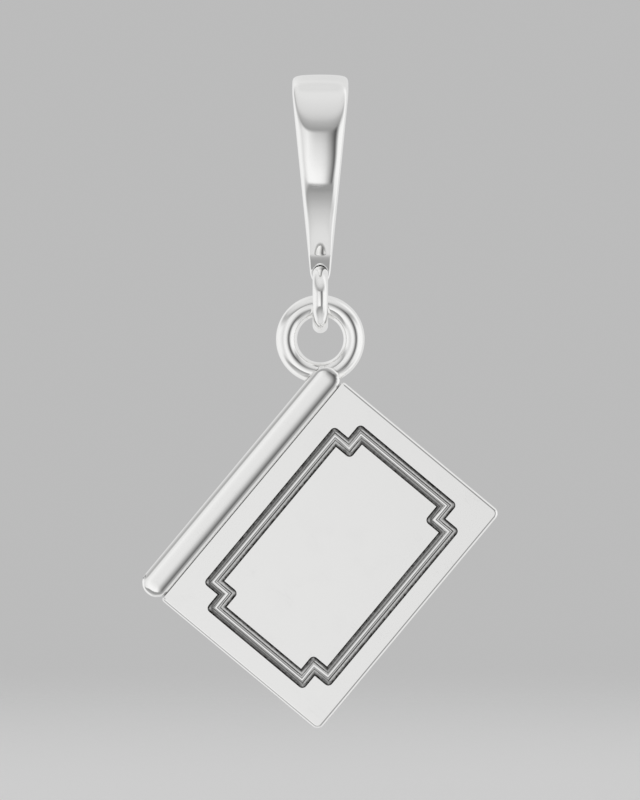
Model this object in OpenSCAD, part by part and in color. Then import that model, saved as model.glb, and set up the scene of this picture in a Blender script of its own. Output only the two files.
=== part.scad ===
// Book pendant in polished white metal: a tapered bail, a round link through the bail's eye,
// and a closed book cast in one with its spine and with the ring soldered at its top corner.
// The front faces -Y. The origin is the inside of the bail's crest, where the chain bears.

/* [Bail] */
// Wall at the crest, the chain's side to the outside
bail_wall = 0.8; // [0.7:0.05:0.9]
// Radius of the crest, seen from the side
crest_r = 2.2; // [2.1:0.05:2.3]
// Radius of the bulging front and back faces, seen from the side
face_r = 6.1; // [6:0.05:6.2]
// Widest the bail gets across its front
bail_w = 2.85; // [2.7:0.05:3]
// Width that the front loses for each millimetre down
bail_taper = 0.2; // [0.19:0.005:0.21]
// Rounding of the long edges of the face
edge_round = 0.55; // [0.5:0.01:0.6]
// Thickness of the solid tip, front to back
tip_t = 0.56; // [0.5:0.02:0.6]
// Radius of the tip's round end, about the eye
tip_r = 0.535; // [0.52:0.005:0.56]

/* [Link] */
// Diameter of the eye that the link passes through
eye_d = 0.86; // [0.85:0.01:0.88]
// Depth of the eye's centre below the origin
eye_drop = 9.13; // [9.1:0.01:9.16]
// Diameter of the link's wire
link_wire = 0.78; // [0.76:0.01:0.79]
// Diameter of the link along the middle of its wire
link_mid_d = 2.65; // [2.6:0.01:2.7]

/* [Ring] */
// Diameter of the ring's wire
ring_wire = 1.065; // [1:0.01:1.08]
// Diameter of the ring along the middle of its wire
ring_mid_d = 3.38; // [3.3:0.02:3.5]
// Small gap left where the ring hangs in the link
hang_gap = 0.08; // [0.05:0.01:0.1]

/* [Book] */
// Angle of the spine above level, as the book hangs
spine_lean = 50.2; // [49:0.1:51]
// Width of the cover from the spine to the fore edge
cover_w = 10.24; // [9.98:0.02:10.5]
// Height of the cover, along the spine
cover_h = 14.2; // [14:0.05:14.4]
// Thickness of the closed book over both boards
book_t = 1.5; // [1.4:0.05:1.6]
// Thickness of each board
board_t = 0.36; // [0.3:0.02:0.4]
// How far the pages lie back from the boards' edges
page_inset = 0.3; // [0.2:0.05:0.4]
// Rounding of the boards' edges
board_edge = 0.15; // [0.12:0.01:0.18]
// Rounding of the boards' corners, seen from the front
board_corner = 0.35; // [0.2:0.05:0.5]
// Width of the spine across the front
spine_w = 1.42; // [1.36:0.01:1.48]
// How far the spine runs past the cover at each end
spine_over = 0.19; // [0.1:0.01:0.3]
// How far the spine's crown stands over the boards
spine_proud = 0.3; // [0.25:0.01:0.35]
// Radius of the spine's gentle crown
spine_crown = 1.8; // [1.7:0.05:2.2]
// Rounding of the spine's long edges
spine_edge = 0.14; // [0.1:0.01:0.2]
// Rounding of the spine's corners, seen from the front
spine_corner = 0.66; // [0.5:0.01:0.67]
// From the spine's middle to the ring's middle, across the book
ring_out = 1.51; // [1.4:0.01:1.6]
// From the cover's top edge to the ring's middle, along the spine
ring_up = 0.89; // [0.85:0.01:0.95]

/* [Cover frame] */
// Width of the notched frame along the middle of its bead
frame_w = 7.42; // [7:0.02:7.6]
// Height of the notched frame along the middle of its bead
frame_h = 11.29; // [11:0.05:11.5]
// From the fore edge to the frame's nearer long side
frame_margin = 1.365; // [1.3:0.005:1.5]
// Side of the square notch in each corner
notch = 0.92; // [0.8:0.02:1]
// Full width of the sunk frame
frame_groove = 0.75; // [0.7:0.01:0.8]
// Radius of the half-round bead left standing along its middle
bead_r = 0.16; // [0.14:0.01:0.18]
// Depth of the sunk frame beside the bead
groove_deep = 0.18; // [0.16:0.01:0.22]

/* [Hidden] */
$fn = 96;
silver = [0.88, 0.88, 0.89];

// How far a cutter or a buried end runs past a face
past = 0.05;

// The bail's side outline: crest arc, face arc, straight leg, wedge and tip, by tilt of the face
join_tilt = 30;
leg_tilt = -38;
wedge_tilt = -17;
// Depth below the origin at which the wedge meets the tip's parallel faces
wedge_drop = 9.03;
// Radius of the soft bends above and below the wedge
bend_r = 0.6;
// How much further the tip's round end runs below the eye than to its sides
tip_over = 0.035;
tip_end = tip_r + tip_over;
crest_c = [0, bail_wall - crest_r];
face_c = crest_c - (face_r - crest_r) * [cos(join_tilt), sin(join_tilt)];
leg_start = face_c + face_r * [cos(leg_tilt), sin(leg_tilt)];
wedge_foot = [tip_t / 2, -wedge_drop];
wedge_rise = (leg_start[0] - wedge_foot[0] - (leg_start[1] - wedge_foot[1]) * tan(-leg_tilt))
    / (tan(-wedge_tilt) - tan(-leg_tilt));
wedge_head = wedge_foot + wedge_rise * [tan(-wedge_tilt), 1];

// Each row of the bail: depth forward and height, then tilt
crest_step = 10;
face_steps = 10;
bend_steps = 3;
end_step = 16;
// The rows of a soft bend at a corner, from one tilt to the next
function bend(corner, from, to) = let (mid = (from + to) / 2)
    [for (i = [0 : bend_steps]) let (t = from + (to - from) * i / bend_steps)
        [corner + bend_r / cos((to - from) / 2) * [cos(mid), sin(mid)] - bend_r * [cos(t), sin(t)], t]];
crest_rows = [for (t = [90 - crest_step : -crest_step : join_tilt + crest_step / 2])
    [crest_c + crest_r * [cos(t), sin(t)], t]];
face_rows = [for (i = [0 : face_steps])
    let (t = join_tilt + (leg_tilt - join_tilt) * i / face_steps)
    [face_c + face_r * [cos(t), sin(t)], t]];
end_rows = [for (b = [0 : end_step : 90 - end_step / 2])
    [[tip_t / 2, -eye_drop - tip_end * sin(b)], 0]];
rows = concat(crest_rows, face_rows, bend(wedge_head, leg_tilt, wedge_tilt),
              bend(wedge_foot, wedge_tilt, 0), end_rows);

// The bail's half width at a height: an even taper down to the tip, then the round end
function bail_half(z) =
    z >= -eye_drop
        ? min(bail_w / 2, tip_r + bail_taper / 2 * (z + eye_drop))
        : tip_r * sqrt(1 - pow((z + eye_drop) / tip_end, 2));

// The edge rounding is full down to fade_z, then shrinks by fade per millimetre to edge_least
fade_z = -3.5;
fade = 0.105;
edge_least = 0.09;
edge_share = 0.6;
function bail_edge(z) =
    min(max(edge_round + fade * min(0, z - fade_z), edge_least), edge_share * bail_half(z));

// The face's crown: half its curvature at the crest, what it gains with depth, and the most it has
crown_top = 0.05;
crown_gain = 0.01;
crown_most = 0.1;
function bail_crown(z) = min(crown_most, crown_top + crown_gain * max(0, -z));

// Places across the face as parts of the half width, then the drop of the face at each
edge_steps = 5;
function across(z) = let (w = bail_half(z), r = bail_edge(z), flat = w - r)
    concat([for (i = [edge_steps : -1 : 1]) -flat - r * sin(90 * i / edge_steps)],
           [-flat, -flat / 2, 0, flat / 2, flat],
           [for (i = [1 : edge_steps]) flat + r * sin(90 * i / edge_steps)]);
function drop(x, z) = let (r = bail_edge(z), over = max(0, abs(x) - bail_half(z) + r))
    bail_crown(z) * x * x + r - sqrt(max(0, r * r - over * over));

// Points of one row, on the front, or on the back where side is 1
function row_pts(row, side) = let (y = row[0][0], z = row[0][1], t = row[1])
    [for (x = across(z)) let (d = drop(x, z))
        [x, side * (y - d * cos(t)), z - d * sin(t)]];

wide = 2 * edge_steps + 5;
crest_line = [for (x = across(bail_wall)) [x, 0, bail_wall - drop(x, bail_wall)]];
bail_pts = concat(crest_line,
    [for (row = rows) each concat(row_pts(row, -1), row_pts(row, 1))]);
function at(i, side, j) = i == 0 ? j : wide + (i - 1) * 2 * wide + side * wide + j;
last = len(rows);
bail_faces = concat(
    [for (i = [0 : last - 1], j = [0 : wide - 2]) each
        [[at(i, 0, j), at(i, 0, j + 1), at(i + 1, 0, j + 1)],
         [at(i, 0, j), at(i + 1, 0, j + 1), at(i + 1, 0, j)],
         [at(i, 1, j + 1), at(i, 1, j), at(i + 1, 1, j)],
         [at(i, 1, j + 1), at(i + 1, 1, j), at(i + 1, 1, j + 1)]]],
    [[at(0, 0, 0), at(1, 0, 0), at(1, 1, 0)],
     [at(0, 0, wide - 1), at(1, 1, wide - 1), at(1, 0, wide - 1)]],
    [for (i = [1 : last - 1]) each
        [[at(i, 1, 0), at(i, 0, 0), at(i + 1, 0, 0)],
         [at(i, 1, 0), at(i + 1, 0, 0), at(i + 1, 1, 0)],
         [at(i, 0, wide - 1), at(i, 1, wide - 1), at(i + 1, 1, wide - 1)],
         [at(i, 0, wide - 1), at(i + 1, 1, wide - 1), at(i + 1, 0, wide - 1)]]],
    [for (j = [0 : wide - 2]) each
        [[at(last, 0, j), at(last, 0, j + 1), at(last, 1, j + 1)],
         [at(last, 0, j), at(last, 1, j + 1), at(last, 1, j)]]]);

// The chain's opening, seen from the side: the same arcs one wall further in
module bail_opening() {
    join_z = crest_c[1] + (crest_r - bail_wall) * sin(join_tilt);
    translate(crest_c) circle(r = crest_r - bail_wall);
    intersection() {
        translate(face_c) circle(r = face_r - bail_wall);
        mirror([1, 0]) translate(face_c) circle(r = face_r - bail_wall);
        translate([-face_r, join_z - 2 * face_r]) square(2 * face_r);
    }
}

module bail() {
    color(silver)
    difference() {
        polyhedron(points = bail_pts, faces = bail_faces, convexity = 6);
        rotate([90, 0, 90])
            translate([0, 0, -bail_w])
                linear_extrude(2 * bail_w) bail_opening();
        translate([0, 0, -eye_drop])
            rotate([90, 0, 0]) cylinder(d = eye_d, h = 4 * tip_t, center = true);
    }
}

// A closed ring of round wire, standing in the XZ plane
module wire_ring(mid_d, wire) {
    rotate([90, 0, 0])
        rotate_extrude() translate([mid_d / 2, 0]) circle(d = wire);
}

// The link hangs edge-on, and its wire sits a little over the eye's centre because it curves
wire_lift = 0.018;
link_z = -eye_drop + wire_lift - link_mid_d / 2;
link_seat = link_z - link_mid_d / 2 + link_wire / 2;

module link() {
    color(silver)
        translate([0, 0, link_z]) rotate([0, 0, 90]) wire_ring(link_mid_d, link_wire);
}

// The ring's middle, hanging in the link; the book is drawn from there, spine along Z
ring_z = link_seat + hang_gap + ring_wire / 2 - ring_mid_d / 2;
spine_x = ring_out;
gutter_x = spine_x + spine_w / 2;
fore_x = gutter_x + cover_w;
cover_mid_z = -ring_up - cover_h / 2;
face_y = book_t / 2;
spine_y = face_y + spine_proud;

// The spine's section: shoulders and a gentle crown, front and back alike
module spine_section() {
    shoulder_x = spine_w / 2 - spine_edge;
    crown_sin = shoulder_x / (spine_crown - spine_edge);
    shoulder_y = spine_y - spine_crown + (spine_crown - spine_edge) * sqrt(1 - crown_sin * crown_sin);
    for (sx = [-1, 1], sy = [-1, 1])
        translate([sx * shoulder_x, sy * shoulder_y]) circle(r = spine_edge);
    square([spine_w, 2 * shoulder_y], center = true);
    for (sy = [0, 1]) mirror([0, sy])
        intersection() {
            translate([0, spine_y - spine_crown]) circle(r = spine_crown);
            translate([-spine_crown * crown_sin, 0]) square([2 * spine_crown * crown_sin, 2 * spine_y]);
        }
}

// A rectangle from its middle with all four corners rounded
module rounded(w, h, r) {
    square([w - 2 * r, h], center = true);
    square([w, h - 2 * r], center = true);
    for (sx = [-1, 1], sy = [-1, 1])
        translate([sx * (w / 2 - r), sy * (h / 2 - r)]) circle(r = r);
}

module spine() {
    spine_h = cover_h + 2 * spine_over;
    translate([spine_x, 0, cover_mid_z])
    intersection() {
        linear_extrude(spine_h, center = true) spine_section();
        rotate([90, 0, 0])
            linear_extrude(2 * book_t, center = true) rounded(spine_w, spine_h, spine_corner);
        rotate([90, 0, 90])
            linear_extrude(2 * spine_w, center = true) rounded(2 * spine_y, spine_h, spine_edge);
    }
}

// One board, its outer edges and its corners rounded; front where side is -1
module board(side) {
    section_t = 2 * board_t;
    mid_x = (gutter_x + fore_x) / 2;
    translate([mid_x, side * face_y, cover_mid_z])
    intersection() {
        rotate([90, 0, 0])
            linear_extrude(section_t, center = true) rounded(cover_w, cover_h, board_corner);
        translate([0, -side * board_t, 0])
            linear_extrude(cover_h, center = true) rounded(cover_w, section_t, board_edge);
        translate([0, -side * board_t, 0])
            rotate([90, 0, 90])
                linear_extrude(cover_w, center = true) rounded(section_t, cover_h, board_edge);
        translate([-cover_w / 2 - past, -board_t * (1 + side) / 2, -cover_h / 2 - past])
            cube([cover_w + 2 * past, board_t, cover_h + 2 * past]);
    }
}

// The page block, which also runs into the spine and carries it
module pages() {
    page_w = fore_x - page_inset - spine_x;
    page_h = cover_h - 2 * page_inset;
    page_t = book_t - 2 * board_t + 2 * past;
    translate([spine_x + page_w / 2, 0, cover_mid_z]) cube([page_w, page_t, page_h], center = true);
}

// The frame's outline, moved inwards by d, and the depth of its moulding at d
function frame_line(d) = let (w = frame_w / 2 - d, h = frame_h / 2 - d, n = notch)
    [[w, h - n], [w - n, h - n], [w - n, h],
     [n - w, h], [n - w, h - n], [-w, h - n],
     [-w, n - h], [n - w, n - h], [n - w, -h],
     [w - n, -h], [w - n, n - h], [w, n - h]];
half_groove = frame_groove / 2;
bead_sink = groove_deep - bead_r;
function moulding(d) = abs(d) <= bead_r
    ? bead_sink + bead_r - sqrt(bead_r * bead_r - d * d)
    : groove_deep * sqrt(max(0, 1 - pow((abs(d) - bead_r) / (half_groove - bead_r), 2)));
cove_step = 18;
bead_step = 22.5;
cove_offs = [for (a = [90 : -cove_step : cove_step]) bead_r + (half_groove - bead_r) * sin(a)];
bead_offs = [for (a = [90 : -bead_step : -90]) bead_r * sin(a)];
frame_offs = concat(cove_offs, bead_offs, [for (i = [len(cove_offs) - 1 : -1 : 0]) -cove_offs[i]]);
frame_rings = concat([[half_groove, -past]], [for (d = frame_offs) [d, moulding(d)]],
                     [[-half_groove, -past]]);

module frame_cutter() {
    corners = 12;
    count = len(frame_rings);
    polyhedron(
        points = [for (ring = frame_rings) each
            [for (p = frame_line(ring[0])) [p[0], ring[1], p[1]]]],
        faces = [for (i = [0 : count - 1], j = [0 : corners - 1])
            let (k = (i + 1) % count, m = (j + 1) % corners)
            [i * corners + j, k * corners + j, k * corners + m, i * corners + m]],
        convexity = 8);
}

module book() {
    color(silver)
    translate([0, 0, ring_z])
    rotate([0, 90 - spine_lean, 0]) {
        difference() {
            union() {
                wire_ring(ring_mid_d, ring_wire);
                spine();
                pages();
                for (side = [-1, 1]) board(side);
            }
            translate([fore_x - frame_margin - frame_w / 2, -face_y, cover_mid_z]) frame_cutter();
        }
    }
}

bail();
link();
book();
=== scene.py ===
# Book pendant in polished silver: a tapered bail, a round link through the bail's eye, and a closed
# book with a notched frame sunk in its cover, hung by the ring soldered at its top corner.
# The front faces -Y and the bail's inner crest is the origin, as in the CAD frame. Sizes are in
# millimetres as far as the studio.
import math

import bmesh
import bpy
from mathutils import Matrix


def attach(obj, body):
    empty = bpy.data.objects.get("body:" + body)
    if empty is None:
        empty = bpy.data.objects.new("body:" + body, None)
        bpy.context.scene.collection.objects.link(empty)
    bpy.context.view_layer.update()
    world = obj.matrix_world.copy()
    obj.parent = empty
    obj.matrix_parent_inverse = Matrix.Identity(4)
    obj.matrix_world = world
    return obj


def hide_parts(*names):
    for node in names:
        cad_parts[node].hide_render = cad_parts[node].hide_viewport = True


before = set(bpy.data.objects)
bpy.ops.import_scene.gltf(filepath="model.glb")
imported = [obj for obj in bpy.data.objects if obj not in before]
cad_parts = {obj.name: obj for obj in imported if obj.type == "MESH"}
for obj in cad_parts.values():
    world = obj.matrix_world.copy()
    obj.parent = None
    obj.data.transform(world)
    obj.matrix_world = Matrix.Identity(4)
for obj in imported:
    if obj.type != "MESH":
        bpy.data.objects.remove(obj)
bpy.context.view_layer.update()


# Bail
# A cast loop of sterling silver, rounded over its crest, whose two bulging faces run down and meet
# in a solid flat tip. An eye for the link is drilled through the tip, front to back. The buff that
# polished all of the pendant leaves faint lines, a trace of haze and few hairline scratches.
bail_wall = 0.8
crest_r = 2.2
face_r = 6.1
bail_half = 1.425
tip_half = 0.535
taper_slope = 0.1
tip_depth = 0.28
crown = 0.035
side_drop = 0.45
side_most = 0.85
join_tilt = math.radians(30)
leg_tilt = math.radians(-38)
wedge_tilt = math.radians(-17)
wedge_foot_z = -9.03
eye_z = -9.13
eye_d = 0.86


def begin(name):
    """Takes the primitive just added into edit mode, with its place in its mesh."""
    piece = bpy.context.object
    piece.name = piece.data.name = name
    bpy.ops.object.transform_apply(location=True, rotation=True, scale=True)
    bpy.ops.object.mode_set(mode="EDIT")
    bpy.ops.mesh.select_all(action="SELECT")
    return piece


def pick(piece, kind, test):
    """Selects the vertices, edges or faces whose middle and self pass the test, and nothing else."""
    bpy.ops.mesh.select_mode(type=kind)
    bpy.ops.mesh.select_all(action="DESELECT")
    mesh = bmesh.from_edit_mesh(piece.data)
    parts = {"VERT": mesh.verts, "EDGE": mesh.edges, "FACE": mesh.faces}[kind]
    for part in parts:
        if kind == "VERT":
            middle = part.co
        elif kind == "EDGE":
            middle = (part.verts[0].co + part.verts[1].co) / 2
        else:
            middle = part.calc_center_median()
        if test(middle, part):
            part.select_set(True)
    mesh.select_flush_mode()
    bmesh.update_edit_mesh(piece.data)


def pick_numbers(piece, numbers):
    """Selects the vertices with these numbers, and nothing else."""
    bpy.ops.mesh.select_mode(type="VERT")
    bpy.ops.mesh.select_all(action="DESELECT")
    mesh = bmesh.from_edit_mesh(piece.data)
    mesh.verts.ensure_lookup_table()
    for number in numbers:
        mesh.verts[number].select_set(True)
    mesh.select_flush_mode()
    bmesh.update_edit_mesh(piece.data)


def add_modifier(piece, kind, **values):
    """Adds a modifier, sets it and applies it."""
    modifier = piece.modifiers.new(kind.lower(), kind)
    for key, value in values.items():
        setattr(modifier, key, value)
    bpy.context.view_layer.objects.active = piece
    bpy.ops.object.modifier_apply(modifier=modifier.name)


def finish_piece(piece, angle, place=(0, 0, 0), turn=0.0, flat_faces=False):
    """Smooths a piece worked in millimetres and brings it to its place in metres, turned about Y."""
    bpy.ops.object.select_all(action="DESELECT")
    piece.select_set(True)
    bpy.context.view_layer.objects.active = piece
    bpy.ops.object.shade_smooth_by_angle(angle=math.radians(angle))
    if flat_faces:
        add_modifier(piece, "WEIGHTED_NORMAL", keep_sharp=True, weight=100)
    piece.scale = (0.001, 0.001, 0.001)
    piece.rotation_euler = (0, turn, 0)
    piece.location = [c * 0.001 for c in place]
    bpy.ops.object.transform_apply(location=True, rotation=True, scale=True)
    bpy.ops.object.select_all(action="DESELECT")


def add_node(nodes, kind, **values):
    """Adds a shader node and sets its plain properties, and its unlinked inputs by name."""
    node = nodes.new(kind)
    for key, value in values.items():
        if hasattr(node, key):
            setattr(node, key, value)
        else:
            node.inputs[key.replace("_", " ")].default_value = value
    return node


def maths(tree, operation, a, b=None):
    """A Math node on sockets or numbers. Returns its output."""
    node = tree.nodes.new("ShaderNodeMath")
    node.operation = operation
    for i, value in enumerate((a, b)):
        if value is None:
            continue
        if isinstance(value, (int, float)):
            node.inputs[i].default_value = value
        else:
            tree.links.new(value, node.inputs[i])
    return node.outputs[0]


def blend_over(tree, value, low, high, to_low=0.0, to_high=1.0):
    """Carries a value smoothly from one span to another. The ends of the first may be sockets."""
    node = tree.nodes.new("ShaderNodeMapRange")
    node.interpolation_type = "SMOOTHSTEP"
    tree.links.new(value, node.inputs["Value"])
    for name, end in (("From Min", low), ("From Max", high), ("To Min", to_low), ("To Max", to_high)):
        if isinstance(end, (int, float)):
            node.inputs[name].default_value = end
        else:
            tree.links.new(end, node.inputs[name])
    return node.outputs["Result"]


def buffed_finish_and_shade():
    """The finish that every piece shares, with painted shade in its hollows: colour, roughness and height,
    at a place in metres.
    """
    tree = bpy.data.node_groups.new("buffed_finish_and_shade", "ShaderNodeTree")
    face = tree.interface
    face.new_socket("Place", in_out="INPUT", socket_type="NodeSocketVector")
    for name, start in (("Sunk", 0.0), ("Bright", 0.95), ("Hollow film", 0.35), ("Shade reach", 0.0003),
                        ("Line strength", 0.4), ("Haze", 0.2), ("Smooth", 0.05)):
        socket = face.new_socket(name, in_out="INPUT", socket_type="NodeSocketFloat")
        socket.default_value = start
    face.new_socket("Colour", in_out="OUTPUT", socket_type="NodeSocketColor")
    face.new_socket("Roughness", in_out="OUTPUT", socket_type="NodeSocketFloat")
    face.new_socket("Height", in_out="OUTPUT", socket_type="NodeSocketFloat")
    nodes, links = tree.nodes, tree.links
    given = nodes.new("NodeGroupInput")
    out = nodes.new("NodeGroupOutput")

    # Buff lines: noise drawn out along one direction, about 0.02 mm apart
    drawn = nodes.new("ShaderNodeMapping")
    drawn.inputs["Scale"].default_value = (9000, 50000, 50000)
    links.new(given.outputs["Place"], drawn.inputs["Vector"])
    lines = add_node(nodes, "ShaderNodeTexNoise", Scale=1.0, Detail=3.0, Roughness=0.6)
    links.new(drawn.outputs["Vector"], lines.inputs["Vector"])

    # Haze: soft patches from handling, a millimetre or two across
    patches = add_node(nodes, "ShaderNodeTexNoise", Scale=900.0, Detail=4.0, Roughness=0.55)
    links.new(given.outputs["Place"], patches.inputs["Vector"])
    haze = blend_over(tree, patches.outputs["Fac"], 0.45, 0.75)

    # Hairline scratches, few and shallow, along the long edges of stretched cells
    stretched = nodes.new("ShaderNodeMapping")
    stretched.inputs["Rotation"].default_value = (0.3, 0.9, 0.5)
    stretched.inputs["Scale"].default_value = (300, 2600, 2600)
    links.new(given.outputs["Place"], stretched.inputs["Vector"])
    cells = add_node(nodes, "ShaderNodeTexVoronoi", feature="DISTANCE_TO_EDGE", Scale=1.0)
    links.new(stretched.outputs["Vector"], cells.inputs["Vector"])
    near_edge = blend_over(tree, cells.outputs["Distance"], 0.0, 0.02, 1.0, 0.0)
    sparse = blend_over(tree, patches.outputs["Fac"], 0.52, 0.62)
    scratch = maths(tree, "MULTIPLY", near_edge, sparse)

    # Painted shade darkens the colour wherever the surface is occluded, in hollows and creases such as the
    # gutter by the spine. In the sunk frame a dark film lies unevenly, partly oxide and partly painted
    # shade. The open surface is rubbed clean.
    hollow = nodes.new("ShaderNodeAmbientOcclusion")
    hollow.samples = 8
    links.new(given.outputs["Shade reach"], hollow.inputs["Distance"])
    occluded_shade = blend_over(tree, hollow.outputs["AO"], 0.6, 0.2)
    mottle = add_node(nodes, "ShaderNodeTexNoise", Scale=7000.0, Detail=3.0, Roughness=0.6)
    links.new(given.outputs["Place"], mottle.inputs["Vector"])
    uneven = blend_over(tree, mottle.outputs["Fac"], 0.3, 0.7, 0.82, 1.1)
    frame_film_and_shade = maths(tree, "MULTIPLY", given.outputs["Sunk"], uneven)
    film_and_shade = maths(tree, "MAXIMUM", frame_film_and_shade, maths(tree, "MULTIPLY", occluded_shade, given.outputs["Hollow film"]))
    film_and_shade = maths(tree, "MINIMUM", film_and_shade, 1.0)

    tone = maths(tree, "ADD", given.outputs["Bright"], maths(tree, "MULTIPLY", haze, -0.006))
    bright = nodes.new("ShaderNodeCombineColor")
    for channel, warmth in (("Red", 1.0), ("Green", 0.998), ("Blue", 0.99)):
        links.new(maths(tree, "MULTIPLY", tone, warmth), bright.inputs[channel])
    # The silver is mixed towards near black by the oxide film and the painted shade
    mix = nodes.new("ShaderNodeMix")
    mix.data_type = "RGBA"
    links.new(film_and_shade, mix.inputs["Factor"])
    links.new(bright.outputs["Color"], mix.inputs["A"])
    mix.inputs["B"].default_value = (0.035, 0.033, 0.03, 1)
    links.new(mix.outputs["Result"], out.inputs["Colour"])

    rough = maths(tree, "ADD", given.outputs["Smooth"], maths(tree, "MULTIPLY", lines.outputs["Fac"], 0.03))
    hazed = maths(tree, "MULTIPLY", haze, maths(tree, "MULTIPLY", given.outputs["Haze"], 0.06))
    for more in (hazed, maths(tree, "MULTIPLY", scratch, 0.1), maths(tree, "MULTIPLY", film_and_shade, 0.2)):
        rough = maths(tree, "ADD", rough, more)
    links.new(rough, out.inputs["Roughness"])

    height = maths(tree, "MULTIPLY", lines.outputs["Fac"], given.outputs["Line strength"])
    height = maths(tree, "SUBTRACT", height, maths(tree, "MULTIPLY", scratch, 0.6))
    links.new(height, out.inputs["Height"])
    return tree


polish = buffed_finish_and_shade()


def silver(name, turn=(0, 0, 0), **values):
    """A polished silver for one piece, its buff lines turned to run as they do on it."""
    material = bpy.data.materials.new(name)
    material.use_nodes = True
    nodes, links = material.node_tree.nodes, material.node_tree.links
    shader = nodes["Principled BSDF"]
    shader.inputs["Metallic"].default_value = 1.0
    coords = nodes.new("ShaderNodeTexCoord")
    turned = nodes.new("ShaderNodeMapping")
    turned.inputs["Rotation"].default_value = turn
    links.new(coords.outputs["Object"], turned.inputs["Vector"])
    finish = nodes.new("ShaderNodeGroup")
    finish.node_tree = polish
    links.new(turned.outputs["Vector"], finish.inputs["Place"])
    sunk = add_node(nodes, "ShaderNodeAttribute", attribute_name="sunk")
    links.new(sunk.outputs["Fac"], finish.inputs["Sunk"])
    for key, value in values.items():
        finish.inputs[key.replace("_", " ")].default_value = value
    bump = nodes.new("ShaderNodeBump")
    bump.inputs["Strength"].default_value = 0.15
    bump.inputs["Distance"].default_value = 0.000002
    links.new(finish.outputs["Height"], bump.inputs["Height"])
    links.new(finish.outputs["Colour"], shader.inputs["Base Color"])
    links.new(finish.outputs["Roughness"], shader.inputs["Roughness"])
    links.new(bump.outputs["Normal"], shader.inputs["Normal"])
    return material


def on_arc(middle, radius, tilt):
    """A place (y, z) on an arc of the bail's side outline, by the tilt of the face there."""
    return (middle[0] - radius * math.cos(tilt), middle[1] + radius * math.sin(tilt))


def along(start, end, far):
    """The place a distance from start on the way to end."""
    length = math.dist(start, end)
    return tuple(a + (b - a) * far / length for a, b in zip(start, end))


# The strip's rows by where its outer and its inner face lie, from the crest down to the tip
crest_mid = (0, bail_wall - crest_r)
face_mid = ((face_r - crest_r) * math.cos(join_tilt),
            crest_mid[1] - (face_r - crest_r) * math.sin(join_tilt))
crest_rows, face_rows = 6, 11
rows = []
for i in range(crest_rows + 1):
    tilt = math.pi / 2 + (join_tilt - math.pi / 2) * i / crest_rows
    rows.append((on_arc(crest_mid, crest_r, tilt), on_arc(crest_mid, crest_r - bail_wall, tilt)))
for i in range(1, face_rows + 1):
    tilt = join_tilt + (leg_tilt - join_tilt) * i / face_rows
    rows.append((on_arc(face_mid, face_r, tilt), on_arc(face_mid, face_r - bail_wall, tilt)))

# Below the face runs a straight leg, then a short wedge that leans less, down to the parallel tip
leg_start = on_arc(face_mid, face_r, leg_tilt)
meet_tilt = -math.acos(face_mid[0] / (face_r - bail_wall))
half_way = on_arc(face_mid, face_r - bail_wall, (leg_tilt + meet_tilt) / 2)
meet = (0, on_arc(face_mid, face_r - bail_wall, meet_tilt)[1])


def leg_place(z):
    """Where the outer side lies (y, z) at a height of the leg, the wedge or the tip."""
    on_leg = -leg_start[0] - (leg_start[1] - z) * math.tan(-leg_tilt)
    on_wedge = tip_depth + (z - wedge_foot_z) * math.tan(-wedge_tilt)
    return (-max(tip_depth, on_wedge, on_leg), z)


# The inner sides meet beside the leg. The rows lie close where the leg turns into the wedge.
rows.append((leg_place(-7.5), half_way))
rows.append((leg_place(-7.89), meet))
for z in (-8.12, -8.23, -8.34, -8.6, -8.85, -9.0, eye_z):
    rows.append((leg_place(z), (0, z)))

# The tip's round end, by how far below the eye and by the part of the full width
for below, width in ((0.29, 0.93), (0.49, 0.62), (0.58, 0.3)):
    rows.append((leg_place(eye_z - below), (0, eye_z - below), width))

# By height: how far in from the long edges their rounding begins, and how far the edges drop
shoulders = ((-9.8, 0.15), (-7.6, 0.25), (-6.5, 0.42), (-5.7, 0.42), (-4.6, 0.4), (-3.5, 0.33),
             (-2.7, 0.43), (-2.2, 0.46), (-1.2, 0.42), (-0.5, 0.48), (0.8, 0.55))
edge_drops = ((-9.8, 0.0), (-8.0, 0.02), (-6.5, 0.11), (-5.0, 0.14), (-3.5, 0.17), (-2.2, 0.17),
              (-1.0, 0.07), (0.8, 0.04))


def taper(z):
    """The part of its full width that the bail has at a height."""
    return min(1.0, (tip_half + taper_slope * (z - eye_z)) / bail_half)


def at_height(steps, z):
    """A size at a height, in straight steps between the given places."""
    for (low_z, low_size), (high_z, high_size) in zip(steps, steps[1:]):
        if z <= high_z:
            return low_size + (high_size - low_size) * (z - low_z) / (high_z - low_z)
    return steps[-1][1]


def row_places(row):
    """Where the lines of a row lie (y, z), how far out its flank lines are, and its width."""
    outer, inner = row[0], row[1]
    z = outer[1]
    shoulder = at_height(shoulders, z)
    flank = bail_half - shoulder / taper(z)
    curve = crown * taper(z) ** 2
    drop = curve * bail_half ** 2 + at_height(edge_drops, z)
    deep = min(drop + side_drop, side_most * math.dist(outer, inner))
    places = {"ridge": outer, "flank": along(outer, inner, curve * flank ** 2),
              "edge": along(outer, inner, drop), "side": along(outer, inner, deep), "inner": inner}
    return places, flank, row[2] if len(row) > 2 else 1.0


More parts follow.
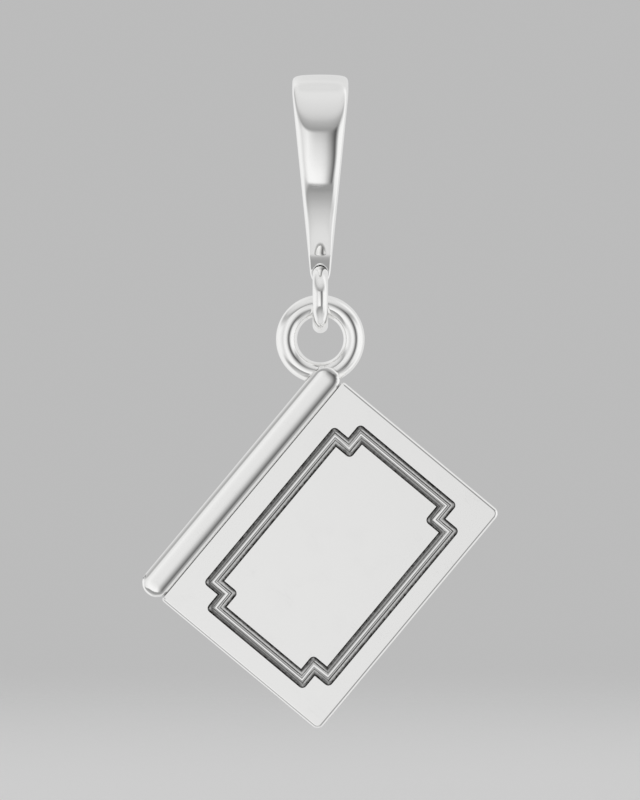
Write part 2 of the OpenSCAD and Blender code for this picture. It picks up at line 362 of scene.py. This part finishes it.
# The strip's section at the crest, with a line down its middle and flank lines for the shoulders
old, flank, width = row_places(rows[0])
bpy.ops.object.select_all(action="DESELECT")
bpy.ops.mesh.primitive_plane_add(size=1, location=(0, 0, bail_wall / 2), rotation=(math.pi / 2, 0, 0))
bail = begin("bail_loop")
bpy.ops.transform.resize(value=(2 * bail_half, 1, bail_wall), center_override=(0, 0, bail_wall / 2))
for x in (-flank, 0, flank):
    bpy.ops.mesh.select_all(action="SELECT")
    bpy.ops.mesh.bisect(plane_co=(x, 0, 0), plane_no=(1, 0, 0))
bpy.ops.mesh.select_all(action="SELECT")
bpy.ops.mesh.bisect(plane_co=(0, 0, old["side"][1]), plane_no=(0, 0, 1))
pick(bail, "VERT", lambda c, v: c.z > bail_wall - 0.01 and abs(c.x) > bail_half - 0.01)
bpy.ops.transform.translate(value=(0, 0, old["edge"][1] - bail_wall))
pick(bail, "VERT", lambda c, v: c.z > bail_wall - 0.01 and abs(abs(c.x) - flank) < 0.01)
bpy.ops.transform.translate(value=(0, 0, old["flank"][1] - bail_wall))
bpy.ops.mesh.select_all(action="SELECT")

# Row by row the section is extruded and its lines are moved to where the row has them
for row in rows[1:]:
    new, new_flank, new_width = row_places(row)
    bpy.ops.mesh.select_mode(type="FACE")
    bpy.ops.mesh.extrude_region_move()
    mesh = bmesh.from_edit_mesh(bail.data)
    lines = {name: [] for name in new}
    flanks = []
    for v in mesh.verts:
        if v.select:
            column = "ridge" if abs(v.co.x) < 0.01 else "flank"
            if abs(abs(v.co.x) - bail_half * width) < 0.001:
                column = "edge"
            near = min((column, "side", "inner"), key=lambda name: math.dist(old[name], (v.co.y, v.co.z)))
            lines[near].append(v.index)
            if column == "flank":
                flanks.append(v.index)
    for name, numbers in lines.items():
        pick_numbers(bail, numbers)
        bpy.ops.transform.translate(value=(0, new[name][0] - old[name][0], new[name][1] - old[name][1]))
    pick_numbers(bail, flanks)
    bpy.ops.transform.resize(value=(new_flank / flank, 1, 1), center_override=(0, 0, 0))
    pick_numbers(bail, [number for numbers in lines.values() for number in numbers])
    bpy.ops.transform.resize(value=(new_width / width, 1, 1), center_override=(0, 0, 0))
    old, flank, width = new, new_flank, new_width

# The half loop is open where it meets its other half
pick(bail, "FACE", lambda c, f: all(abs(v.co.y) < 1e-4 for v in f.verts))
bpy.ops.mesh.delete(type="FACE")
bpy.ops.object.mode_set(mode="OBJECT")
add_modifier(bail, "MIRROR", use_axis=(False, True, False), use_clip=True, merge_threshold=0.002)

# The even taper of the front, from full width just under the crest
low = min(v.co.z for v in bail.data.vertices)
high = max(v.co.z for v in bail.data.vertices)
full_z = eye_z + (bail_half - tip_half) / taper_slope
add_modifier(bail, "SIMPLE_DEFORM", deform_method="TAPER", deform_axis="Z", lock_y=True,
             limits=(0.0, (full_z - low) / (high - low)), factor=1 - taper(low))
bpy.ops.object.mode_set(mode="EDIT")
bpy.ops.mesh.select_all(action="SELECT")
bpy.ops.mesh.normals_make_consistent(inside=False)
bpy.ops.object.mode_set(mode="OBJECT")
add_modifier(bail, "SUBSURF", levels=3, render_levels=3)

# The eye, drilled through the tip
bpy.ops.mesh.primitive_cylinder_add(vertices=64, radius=eye_d / 2, depth=3, location=(0, 0, eye_z),
                                    rotation=(math.pi / 2, 0, 0))
drill = bpy.context.object
add_modifier(bail, "BOOLEAN", operation="DIFFERENCE", solver="EXACT", object=drill)
bpy.data.objects.remove(drill)
finish_piece(bail, 40)
bail.data.materials.append(silver("bail_silver", Smooth=0.04, Hollow_film=0.15))
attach(bail, "bail")
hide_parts("bail")


# Link
# A jump ring of round silver wire, bent round, closed and soldered. It passes through the bail's
# eye and hangs there edge-on, and the book's ring hangs in it.
link_wire = 0.78
link_mid_d = 2.65
eye_slack = 0.018
link_z = eye_z + eye_slack - link_mid_d / 2
bpy.ops.mesh.primitive_torus_add(major_segments=72, minor_segments=32, major_radius=link_mid_d / 2,
                                 minor_radius=link_wire / 2, location=(0, 0, link_z),
                                 rotation=(0, math.pi / 2, 0))
link = begin("jump_ring")

# The soldered joint stands a hair proud at the back
joint_turn = -0.6
joint_reach = 0.03
joint_swell = 1.02
joint_mid = (0, link_mid_d / 2 * math.cos(joint_turn), link_z + link_mid_d / 2 * math.sin(joint_turn))
pick(link, "VERT", lambda c, v: abs(math.atan2(c.z - link_z, c.y) - joint_turn) < joint_reach)
bpy.ops.transform.resize(value=(joint_swell, joint_swell, joint_swell), center_override=joint_mid)
bpy.ops.object.mode_set(mode="OBJECT")
add_modifier(link, "SUBSURF", levels=1, render_levels=1)
finish_piece(link, 60)
link.data.materials.append(silver("link_silver", Smooth=0.05, Hollow_film=0.15))
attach(link, "link")
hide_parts("link")


# Ring
# A ring of thicker round silver wire that stands in the book's mid-plane and is soldered to the top
# end of the spine. All of the book is drawn from this ring's middle, spine upright, then leaned over.
ring_wire = 1.065
ring_mid_d = 3.38
hang_gap = 0.08
ring_z = link_z - link_mid_d / 2 + link_wire / 2 + hang_gap + ring_wire / 2 - ring_mid_d / 2
book_lean = math.radians(90 - 50.2)
bpy.ops.mesh.primitive_torus_add(major_segments=96, minor_segments=36, major_radius=ring_mid_d / 2,
                                 minor_radius=ring_wire / 2, rotation=(math.pi / 2, 0, 0))
ring = begin("book_ring")
bpy.ops.object.mode_set(mode="OBJECT")
add_modifier(ring, "SUBSURF", levels=1, render_levels=1)
# The book's silver paints a strong shade in its hollows, such as the gutter by the spine and the frame's
# coves
book_silver = silver("book_silver", turn=(0, -book_lean, 0), Smooth=0.05, Hollow_film=0.8)


def join_book(piece, angle, flat_faces=False):
    """Brings a piece of the book from the ring's middle to where it hangs, and gives it its silver."""
    finish_piece(piece, angle, (0, 0, ring_z), book_lean, flat_faces)
    piece.data.materials.append(book_silver)
    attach(piece, "book")
    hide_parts("book")


join_book(ring, 60)


# Spine
# A solid silver bar with a gently crowned face and soft shoulders all round it, cast in one with
# the book. It stands over the boards, and it runs a little past them at each end.
spine_x = 1.51
spine_w = 1.42
spine_y = 1.05
spine_edge = 0.12
spine_corner = 0.68
spine_over = 0.19
shoulder_reach = 0.69
shoulder_fall = 0.5
ring_up = 0.89
cover_h = 14.2
spine_h = cover_h + 2 * spine_over
cover_mid_z = -ring_up - cover_h / 2
bpy.ops.mesh.primitive_cube_add(size=1, location=(spine_x, 0, cover_mid_z),
                                scale=(spine_w, 2 * spine_y, spine_h))
spine = begin("book_spine")
pick(spine, "EDGE", lambda c, e: abs(c.y) < 0.01 and abs(e.verts[0].co.y - e.verts[1].co.y) > spine_y)
bpy.ops.mesh.bevel(offset=spine_corner, segments=12, affect="EDGES")
pick(spine, "EDGE", lambda c, e: abs(c.y) > spine_y - 0.01)
bpy.ops.mesh.bevel(offset=spine_edge, segments=6, affect="EDGES")

# Lines along and across both faces, for the shoulders to turn over
for x in (-0.5, -0.4, -0.3, -0.2, -0.1, 0, 0.1, 0.2, 0.3, 0.4, 0.5):
    bpy.ops.mesh.select_all(action="SELECT")
    bpy.ops.mesh.bisect(plane_co=(spine_x + x, 0, 0), plane_no=(1, 0, 0))
for from_end in (0.2, 0.3, 0.4, 0.5, 0.6, 0.7):
    for sign in (-1, 1):
        bpy.ops.mesh.select_all(action="SELECT")
        end_z = cover_mid_z + sign * (spine_h / 2 - from_end)
        bpy.ops.mesh.bisect(plane_co=(0, 0, end_z), plane_no=(0, 0, 1))


def edge_fall(far):
    """How far the face has fallen at a distance from the spine's edge: a soft turn to each edge."""
    return shoulder_fall * max(0.0, shoulder_reach - far) ** 3


def sink_by(piece, far_from_edge):
    """Moves both faces of the spine inwards, line by line, by how far each line is from an edge."""
    mesh = bmesh.from_edit_mesh(piece.data)
    for far in sorted({round(far_from_edge(v.co), 3) for v in mesh.verts}):
        if edge_fall(far) < 0.0005:
            continue
        for side in (-1, 1):
            pick(piece, "VERT", lambda c, v: abs(far_from_edge(c) - far) < 0.0006 and c.y * side > 0)
            bpy.ops.transform.translate(value=(0, -side * edge_fall(far), 0))


sink_by(spine, lambda c: spine_w / 2 - abs(c.x - spine_x))
sink_by(spine, lambda c: spine_h / 2 - abs(c.z - cover_mid_z))
bpy.ops.object.mode_set(mode="OBJECT")
join_book(spine, 50)


# Boards
# Two flat silver cover boards with softly rounded edges, cast with the page block between them. A
# frame with a square notch in each corner is sunk in the front one: a cove, a fine bead, a cove.
# The polish doesn't reach into the coves, which keep a dark oxide film up to the bead's rubbed top. The film
# is laid on darker so that it also paints the coves' shade.
gutter_x = spine_x + spine_w / 2
cover_w = 10.24
board_t = 0.36
board_y = 0.75
board_corner = 0.35
gutter_corner = 0.17
board_edge = 0.15
gutter_edge = 0.06
inner_edge = 0.03
cover_mid_x = gutter_x + cover_w / 2
frame_half_w = 7.42 / 2
frame_half_h = 11.29 / 2
frame_margin = 1.365
frame_mid_x = gutter_x + cover_w - frame_margin - frame_half_w
notch = 0.92
half_groove = 0.375
bead_r = 0.16
groove_deep = 0.18
turn_round = 0.21


def board(name, side):
    """A board with its outer face towards side along Y, its corners at the gutter the tighter ones."""
    middle = (cover_mid_x, side * (board_y - board_t / 2), cover_mid_z)
    bpy.ops.mesh.primitive_cube_add(size=1, location=middle, scale=(cover_w, board_t, cover_h))
    piece = begin(name)
    for by_gutter, corner in ((False, board_corner), (True, gutter_corner)):
        pick(piece, "EDGE", lambda c, e: abs(e.verts[0].co.y - e.verts[1].co.y) > board_t / 2
             and (c.x < gutter_x + 0.01) == by_gutter and abs(c.z - cover_mid_z) > cover_h / 2 - 0.01)
        bpy.ops.mesh.bevel(offset=corner, segments=8, affect="EDGES")
    at_gutter = gutter_x + 0.05
    pick(piece, "EDGE", lambda c, e: abs(c.y - side * board_y) < 0.01 and c.x < at_gutter)
    bpy.ops.mesh.bevel(offset=gutter_edge, segments=3, affect="EDGES")
    pick(piece, "EDGE", lambda c, e: abs(c.y - side * board_y) < 0.01 and c.x > at_gutter
         and any(abs(f.normal.y) < 0.5 for f in e.link_faces))
    bpy.ops.mesh.bevel(offset=board_edge, segments=7, affect="EDGES")
    pick(piece, "EDGE", lambda c, e: abs(c.y - side * (board_y - board_t)) < 0.01)
    bpy.ops.mesh.bevel(offset=inner_edge, segments=2, affect="EDGES")
    return piece


def on_cover(c, f):
    """Whether a face lies in the flat of the front cover."""
    return abs(c.y + board_y) < 0.001 and f.normal.y < -0.9


def in_frame(c, f):
    """Whether a face of the cover lies within the frame's outer lip, its notches left out."""
    x, z = abs(c.x - frame_mid_x), abs(c.z - cover_mid_z)
    in_x, in_z = frame_half_w + half_groove, frame_half_h + half_groove
    return on_cover(c, f) and ((x < in_x and z < in_z - notch) or (x < in_x - notch and z < in_z))


# The flat of the front cover is cut along the lip of the frame and along the sides of its notches
front = board("front_board", -1)
for x in (frame_half_w + half_groove, frame_half_w + half_groove - notch):
    for sign in (-1, 1):
        pick(front, "FACE", on_cover)
        bpy.ops.mesh.bisect(plane_co=(frame_mid_x + sign * x, 0, 0), plane_no=(1, 0, 0))
for z in (frame_half_h + half_groove, frame_half_h + half_groove - notch):
    for sign in (-1, 1):
        pick(front, "FACE", on_cover)
        bpy.ops.mesh.bisect(plane_co=(0, 0, cover_mid_z + sign * z), plane_no=(0, 0, 1))

# The moulding from the outer lip to the inner lip: distance from the bead's middle, and depth
cove = [(bead_r + (half_groove - bead_r) * math.sin(math.radians(a)),
         groove_deep * math.cos(math.radians(a)))
        for a in (90, 75, 60, 45, 30, 15)]
bead = [(bead_r * math.sin(math.radians(b)), groove_deep - bead_r * math.cos(math.radians(b)))
        for b in range(90, -91, -15)]
moulding = cove + bead + [(-far, deep) for far, deep in reversed(cove)]
pick(front, "FACE", in_frame)
for (far, deep), (next_far, next_deep) in zip(moulding, moulding[1:]):
    bpy.ops.mesh.inset(thickness=far - next_far, depth=deep - next_deep, use_even_offset=True,
                       use_boundary=True)


def from_bead(c, in_x, in_z):
    """How far a place lies outside the bead's middle line, measured at one kind of its corners."""
    return (abs(c.x - frame_mid_x) - frame_half_w + in_x, abs(c.z - cover_mid_z) - frame_half_h + in_z)


def on_mitre(e, in_x, in_z, side):
    """Whether an edge runs along the mitre of a cove, on the side of the bead that is asked for."""
    ends = [from_bead(v.co, in_x, in_z) for v in e.verts]
    in_line = all(abs(x - z) < 0.002 and bead_r - 0.002 < side * x < half_groove + 0.002 for x, z in ends)
    return in_line and abs(ends[0][0] - ends[1][0]) > 0.0005


# Each turn of the frame is rounded on its outer side, as a cast corner is
pick(front, "EDGE", lambda c, e: on_mitre(e, 0, notch, 1) or on_mitre(e, notch, 0, 1)
     or on_mitre(e, notch, notch, -1))
bpy.ops.mesh.bevel(offset=turn_round, segments=6, affect="EDGES")


def film_and_shade_at(c):
    """The dark film and painted shade on the moulding: none on the bead's top, some on its flanks, most in
    the coves.
    """
    far = abs(min(max(from_bead(c, 0, notch)), max(from_bead(c, notch, 0))))
    if far > half_groove - 0.001:
        return 0.0
    on_flank = min(1.0, max(0.0, (far - 0.03) / 0.09))
    in_cove = min(1.0, max(0.0, (far - 0.2) / 0.1))
    return 0.38 * on_flank + 0.57 * in_cove


# The film, with its painted shade, is kept as an attribute of the board's points, which the book's silver
# reads
mesh = bmesh.from_edit_mesh(front.data)
sunk = mesh.verts.layers.float.new("sunk")
for v in mesh.verts:
    if 0.001 < v.co.y + board_y < 0.0005 + groove_deep:
        v[sunk] = film_and_shade_at(v.co)
bmesh.update_edit_mesh(front.data)
bpy.ops.object.mode_set(mode="OBJECT")

back = board("back_board", 1)
bpy.ops.object.mode_set(mode="OBJECT")
for piece in (front, back):
    join_book(piece, 35, flat_faces=True)


# Pages
# The page block is one plain slab of silver between the boards, set back from their edges on
# three sides and cast into the spine on the fourth.
page_inset = 0.3
page_corner = 0.1
page_w = cover_w + spine_w / 2 - page_inset
page_t = 2 * (board_y - board_t) + 0.02
bpy.ops.mesh.primitive_cube_add(size=1, location=(spine_x + page_w / 2, 0, cover_mid_z),
                                scale=(page_w, page_t, cover_h - 2 * page_inset))
pages = begin("page_block")
pick(pages, "EDGE", lambda c, e: abs(e.verts[0].co.y - e.verts[1].co.y) > board_t)
bpy.ops.mesh.bevel(offset=page_corner, segments=3, affect="EDGES")
bpy.ops.object.mode_set(mode="OBJECT")
join_book(pages, 35)


# Studio
# A pale floor under the pendant that fades out into the wall, and soft boxes round it: one wide
# box about the camera, one at each side with a narrow gap before the right one, and plainer light
# above and below. Sizes are in metres here.
floor_z = -0.0365
floor_r = 0.4
bpy.ops.mesh.primitive_circle_add(vertices=96, radius=floor_r, fill_type="NGON", location=(0, 0, floor_z))
floor = bpy.context.object
floor.name = "floor"
floor_mat = bpy.data.materials.new("pale_floor")
floor_mat.use_nodes = True
floor_shader = floor_mat.node_tree.nodes["Principled BSDF"]
floor_shader.inputs["Base Color"].default_value = (0.8, 0.8, 0.8, 1)
floor_shader.inputs["Roughness"].default_value = 0.9
floor_place = floor_mat.node_tree.nodes.new("ShaderNodeTexCoord")
from_middle = floor_mat.node_tree.nodes.new("ShaderNodeVectorMath")
from_middle.operation = "LENGTH"
floor_mat.node_tree.links.new(floor_place.outputs["Object"], from_middle.inputs[0])
floor_fade = blend_over(floor_mat.node_tree, from_middle.outputs["Value"], 0.03, 0.3, 1.0, 0.0)
floor_mat.node_tree.links.new(floor_fade, floor_shader.inputs["Alpha"])
floor.data.materials.append(floor_mat)
floor.visible_glossy = False


def linear(grey):
    """Light for a grey that shows as this number of 255."""
    g = grey / 255
    return g / 12.92 if g <= 0.04045 else ((g + 0.055) / 1.055) ** 2.4


def stops(tree, value, low, high, greys):
    """A ramp of greys over a span of degrees."""
    place = tree.nodes.new("ShaderNodeMapRange")
    place.inputs["From Min"].default_value = low
    place.inputs["From Max"].default_value = high
    tree.links.new(value, place.inputs["Value"])
    ramp = tree.nodes.new("ShaderNodeValToRGB")
    bits = ramp.color_ramp.elements
    for i, (degrees, grey) in enumerate(greys):
        at = (degrees - low) / (high - low)
        bit = bits[0] if i == 0 else bits[-1] if i == len(greys) - 1 else bits.new(at)
        bit.position = at
        bit.color = (linear(grey),) * 3 + (1,)
    tree.links.new(place.outputs["Result"], ramp.inputs["Fac"])
    return ramp.outputs["Color"]


world = bpy.data.worlds.new("studio")
bpy.context.scene.world = world
world.use_nodes = True
tree = world.node_tree
tree.nodes.clear()
coords = tree.nodes.new("ShaderNodeTexCoord")
way = tree.nodes.new("ShaderNodeSeparateXYZ")
tree.links.new(coords.outputs["Generated"], way.inputs["Vector"])
to_degrees = 180 / math.pi
rise = maths(tree, "MULTIPLY", maths(tree, "ARCSINE", way.outputs["Z"]), to_degrees)
ahead = maths(tree, "MULTIPLY", way.outputs["Y"], -1.0)
bearing = maths(tree, "MULTIPLY", maths(tree, "ARCTAN2", way.outputs["X"], ahead), to_degrees)

# Round the pendant at its own height, by bearing from the camera
camera_grey = 226
belt = stops(tree, bearing, -180, 180, [
    (-180, 219), (-120, 239), (-80, 241), (-64, 234), (-52, 224), (-44, 218), (-28, 235), (-18, 243),
    (-8, 235), (0, camera_grey), (4, 211), (8, 186), (16, 140), (20, 120), (24, 96), (28, 118), (32, 155),
    (40, 206), (48, 241), (60, 245), (100, 245), (120, 223), (180, 219)])

# By the camera the belt also grows brighter from its upper edge down to its lower edge
away = maths(tree, "ABSOLUTE", bearing)
down = stops(tree, rise, -90, 90, [
    (-90, 241), (-16, 241), (0, camera_grey), (12, 214), (24, 192), (90, 192)])
gain = maths(tree, "SUBTRACT", maths(tree, "MULTIPLY", down, 1 / linear(camera_grey)), 1.0)
gain = maths(tree, "MULTIPLY", gain, blend_over(tree, away, 20.0, 50.0, 1.0, 0.0))
gain = maths(tree, "MULTIPLY", gain, blend_over(tree, bearing, -18.0, 0.0, 0.3, 1.0))
belt = maths(tree, "MULTIPLY", belt, maths(tree, "ADD", gain, 1.0))

# Above and below that belt, by rise over the horizon
beyond = stops(tree, rise, -90, 90, [
    (-90, 222), (-76, 222), (-70, 218), (-64, 211), (-60, 207), (-55, 201), (-51, 196), (-47, 188),
    (-43, 180), (-39, 170), (-35, 163), (-31, 149), (-26, 150), (26, 152), (30, 166), (33.5, 178),
    (37.5, 197), (41.5, 208), (45.5, 213), (50, 217), (58, 223), (67, 224), (80, 217), (90, 219)])

# The belt's upper and lower edges are crisp by the camera and soften to the sides
belt_top = 24.5
belt_foot = -25.2
soft = blend_over(tree, away, 26.0, 60.0, 2.0, 12.0)
over = blend_over(tree, rise, maths(tree, "SUBTRACT", belt_top, soft), maths(tree, "ADD", belt_top, soft))
under = blend_over(tree, rise, maths(tree, "ADD", belt_foot, soft), maths(tree, "SUBTRACT", belt_foot, soft))

# Behind, the edges are gone and the belt's light reaches up and down, but not high on the left
behind = blend_over(tree, away, 55.0, 95.0)
level = blend_over(tree, maths(tree, "ABSOLUTE", rise), 50.0, 72.0, 1.0, 0.0)
from_left = blend_over(tree, bearing, -20.0, -40.0)
high_left = maths(tree, "MULTIPLY", from_left, blend_over(tree, rise, 0.0, 25.0))
high_left = maths(tree, "MULTIPLY", high_left, blend_over(tree, bearing, -140.0, -105.0))
ended = maths(tree, "MULTIPLY", behind, level)
ended = maths(tree, "MULTIPLY", ended, maths(tree, "SUBTRACT", 1.0, high_left))

# Low on the right the side's light reaches down sooner, and fades on the way
from_right = blend_over(tree, bearing, 34.0, 50.0)
low_right = maths(tree, "MULTIPLY", from_right, blend_over(tree, rise, -10.0, -25.0))
low_right = maths(tree, "MULTIPLY", low_right, blend_over(tree, rise, -28.0, -46.0, 0.8, 0.3))
ended = maths(tree, "MAXIMUM", ended, maths(tree, "MULTIPLY", low_right, level))
kept = maths(tree, "SUBTRACT", 1.0, ended)
outside = maths(tree, "MULTIPLY", maths(tree, "MAXIMUM", over, under), kept)
mix = tree.nodes.new("ShaderNodeMix")
mix.data_type = "RGBA"
tree.links.new(outside, mix.inputs["Factor"])
tree.links.new(belt, mix.inputs["A"])
tree.links.new(beyond, mix.inputs["B"])

# The camera itself sees a plain wall in place of the boxes
studio = tree.nodes.new("ShaderNodeBackground")
tree.links.new(mix.outputs["Result"], studio.inputs["Color"])
studio.inputs["Strength"].default_value = 1.06
wall = tree.nodes.new("ShaderNodeBackground")
wall.inputs["Color"].default_value = (0.5, 0.5, 0.5, 1)
path = tree.nodes.new("ShaderNodeLightPath")
choose = tree.nodes.new("ShaderNodeMixShader")
tree.links.new(path.outputs["Is Camera Ray"], choose.inputs["Fac"])
tree.links.new(studio.outputs[0], choose.inputs[1])
tree.links.new(wall.outputs[0], choose.inputs[2])
sky = tree.nodes.new("ShaderNodeOutputWorld")
tree.links.new(choose.outputs[0], sky.inputs["Surface"])

# The camera looks straight on from half a metre, through a long lens. A pixel is 0.05 mm wide at
# the pendant, and the bail's inner crest lies at a set pixel of the picture of 640 by 800.
camera_far = 0.5
pixel = 0.00005
crest_px = (320.3, 90.2)
sensor = 36
camera_data = bpy.data.cameras.new("camera")
camera = bpy.data.objects.new("camera", camera_data)
bpy.context.scene.collection.objects.link(camera)
camera.location = ((320 - crest_px[0]) * pixel, -camera_far, (crest_px[1] - 400) * pixel)
camera.rotation_euler = (math.pi / 2, 0, 0)
camera_data.sensor_width = sensor
camera_data.lens = sensor * camera_far / (800 * pixel)
camera_data.clip_start = 0.01
camera_data.clip_end = 10
bpy.context.scene.camera = camera
bpy.context.scene.view_settings.view_transform = "Standard"
bpy.context.scene.cycles.use_denoising = True
